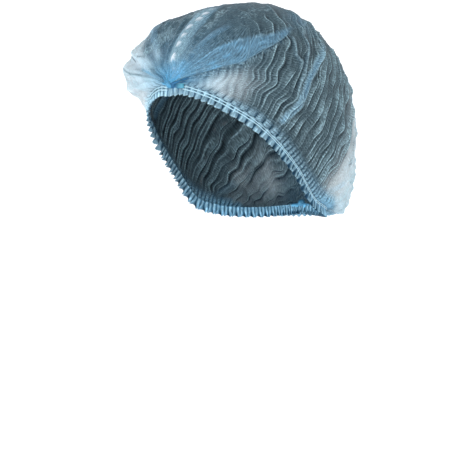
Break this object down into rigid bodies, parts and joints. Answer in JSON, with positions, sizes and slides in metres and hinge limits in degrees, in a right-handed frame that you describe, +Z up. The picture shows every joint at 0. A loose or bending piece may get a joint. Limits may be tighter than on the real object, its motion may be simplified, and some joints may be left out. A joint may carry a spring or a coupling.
{
  "type": "bouffant cap",
  "caption": "Disposable pleated mob cap of light blue nonwoven, ballooned over a head, with gathered ends and an elastic frilled rim.",
  "frame": {"origin": "the middle of the head opening, halfway between the front and back gathers", "axes": "-Y towards the cap's front gather, +X towards the wearer's left, +Z up"},
  "size_m": [0.186, 0.2096, 0.2029],
  "materials": {
    "nonwoven": "matte, translucent",
    "nonwoven_dense": "satin, welded layers",
    "elastic": "matte"
  },
  "bodies": {
    "root": {"crown": "nonwoven", "frill_left": "nonwoven", "frill_right": "nonwoven", "elastic_left_upper": "elastic", "elastic_left_lower": "elastic", "elastic_right_upper": "elastic", "elastic_right_lower": "elastic", "gather_front": "nonwoven_dense", "gather_back": "nonwoven_dense", "end_tab": "nonwoven_dense"}
  },
  "joints": []
}
